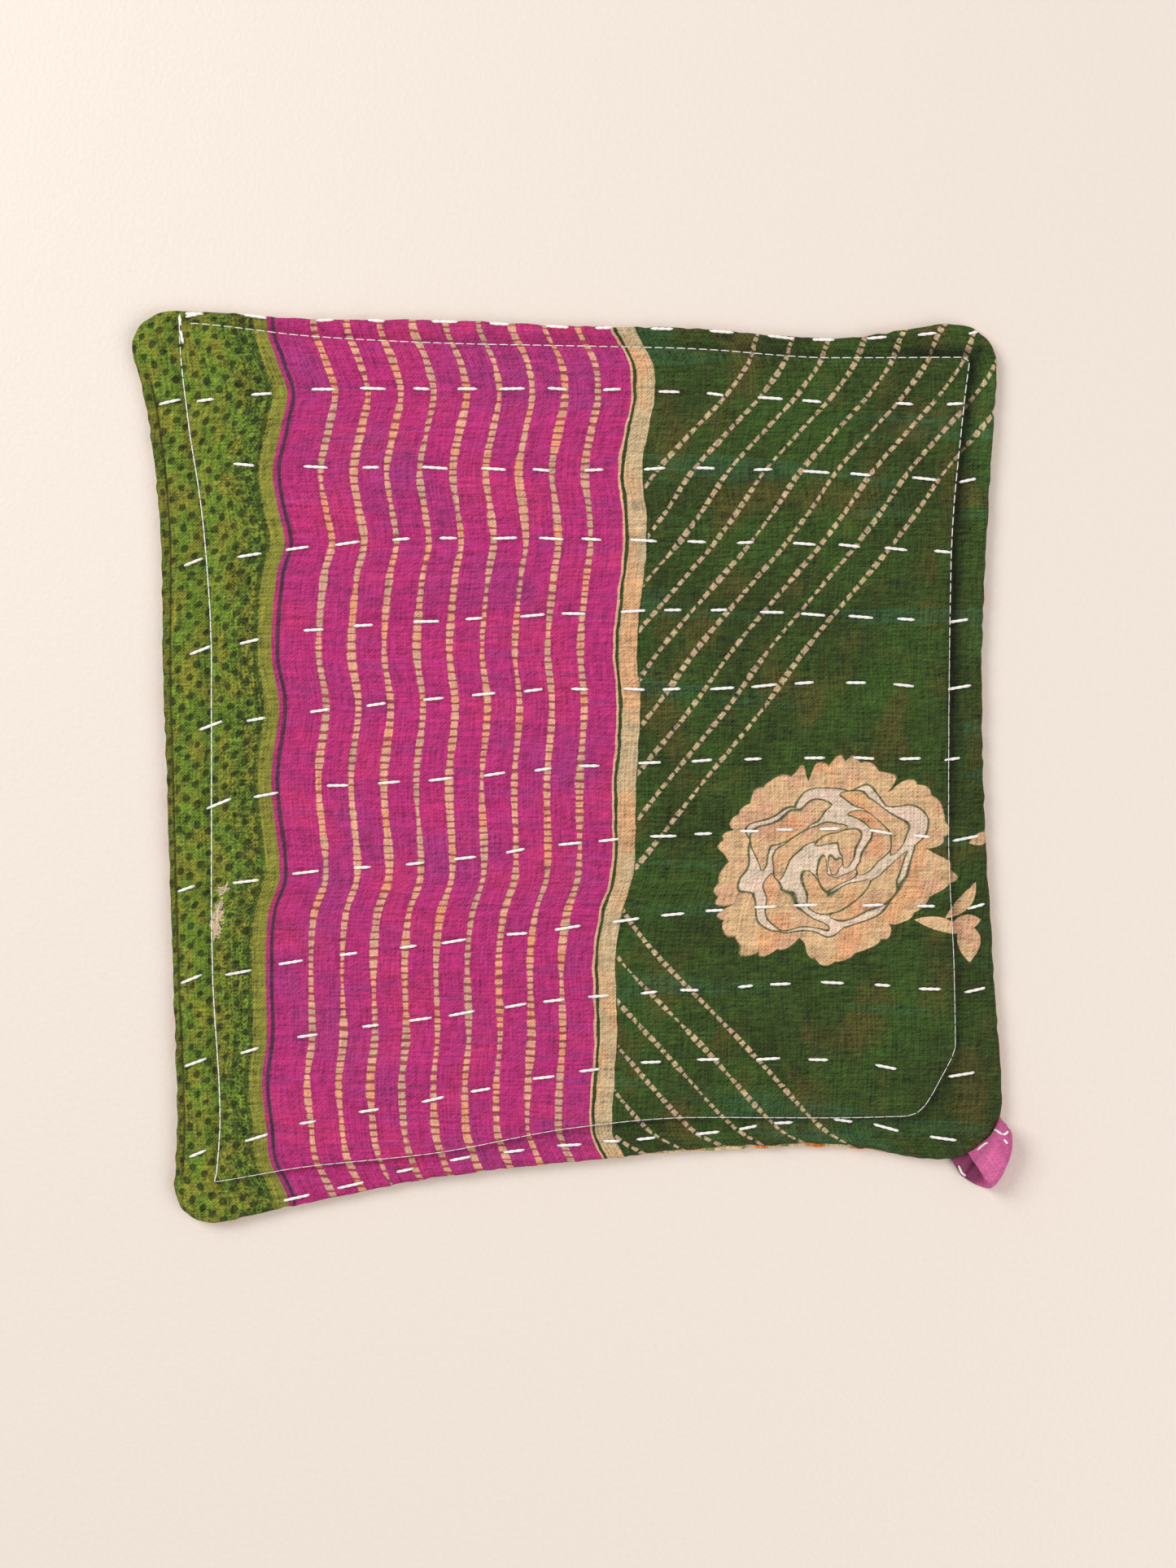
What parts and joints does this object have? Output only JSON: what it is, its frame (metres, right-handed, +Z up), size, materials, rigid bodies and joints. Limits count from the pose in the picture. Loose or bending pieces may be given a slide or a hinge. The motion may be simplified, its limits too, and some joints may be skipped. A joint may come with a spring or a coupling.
{
  "type": "quilted pot holder",
  "caption": "Flat square kitchen pot holder of layered cotton, quilted by hand in rows of running stitch, with a cloth hanging loop at one corner.",
  "frame": {"origin": "middle of the whole object's box in plan, on the surface that it lies on", "axes": "+Z up out of the printed front, +X to the right and +Y away from the reader, with the hanging loop at the +X -Y corner"},
  "size_m": [0.216, 0.2234, 0.007],
  "materials": {
    "printed_cotton": "matte, printed and dyed woven cotton with white hand stitches",
    "backing_cotton": "matte, pale woven cotton with a small print",
    "loop_cotton": "matte, plain dyed woven cotton"
  },
  "bodies": {
    "root": {"front_panel": "printed_cotton", "back_panel": "backing_cotton", "hanging_loop": "loop_cotton"}
  },
  "joints": []
}
